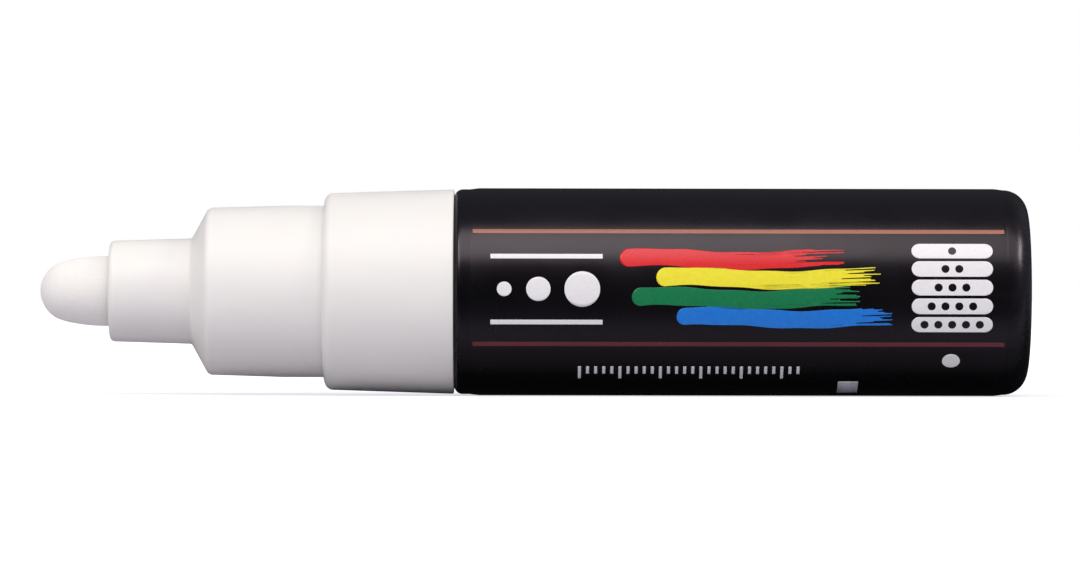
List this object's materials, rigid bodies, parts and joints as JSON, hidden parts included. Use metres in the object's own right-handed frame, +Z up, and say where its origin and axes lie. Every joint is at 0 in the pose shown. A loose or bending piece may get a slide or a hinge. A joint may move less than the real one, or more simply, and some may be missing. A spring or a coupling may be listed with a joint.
{
  "type": "paint marker",
  "caption": "Round valve-action paint marker with its cap off: black barrel in a printed film sleeve, white stepped collar and nose, and a thick bullet nib that is pressed to let paint through.",
  "frame": {"origin": "under the middle of the marker's length, on the surface that it lies on", "axes": "+X along the marker's axis from the nib to the tail, +Z up, the front of the label towards -Y"},
  "size_m": [0.123, 0.0258, 0.0258],
  "materials": {
    "barrel_plastic": "moulded black polypropylene, gloss",
    "label_film": "printed black shrink film, gloss",
    "nose_plastic": "moulded white polypropylene, satin",
    "nib_fibre": "bonded white polyester fibre, matte",
    "valve_plastic": "moulded natural polyethylene, satin",
    "seal_rubber": "black nitrile rubber",
    "spring_steel": "stainless spring wire",
    "ball_steel": "polished stainless ball"
  },
  "bodies": {
    "marker_body": {"barrel": "barrel_plastic", "label_sleeve": "label_film", "barrel_seal": "seal_rubber", "collar": "nose_plastic", "nose": "nose_plastic", "valve_seat": "valve_plastic", "valve_cage": "valve_plastic", "valve_spring": "spring_steel"},
    "valve": {"valve_stem": "valve_plastic", "valve_washer": "seal_rubber"},
    "nib": {"nib": "nib_fibre"},
    "ball": {"agitator_ball": "ball_steel"}
  },
  "joints": [
    {"name": "valve_press", "type": "slide", "parent": "marker_body", "child": "valve", "axis": [1, 0, 0], "range_m": [0, 0.0018], "stiffness_N_per_m": 290, "springref_m": -0.001, "deforming": ["valve_spring"]},
    {"name": "nib_pull", "type": "slide", "parent": "valve", "child": "nib", "axis": [-1, 0, 0], "range_m": [0, 0.03]},
    {"name": "ball_travel", "type": "slide", "parent": "marker_body", "child": "ball", "axis": [-1, 0, 0], "range_m": [0, 0.0466]}
  ]
}
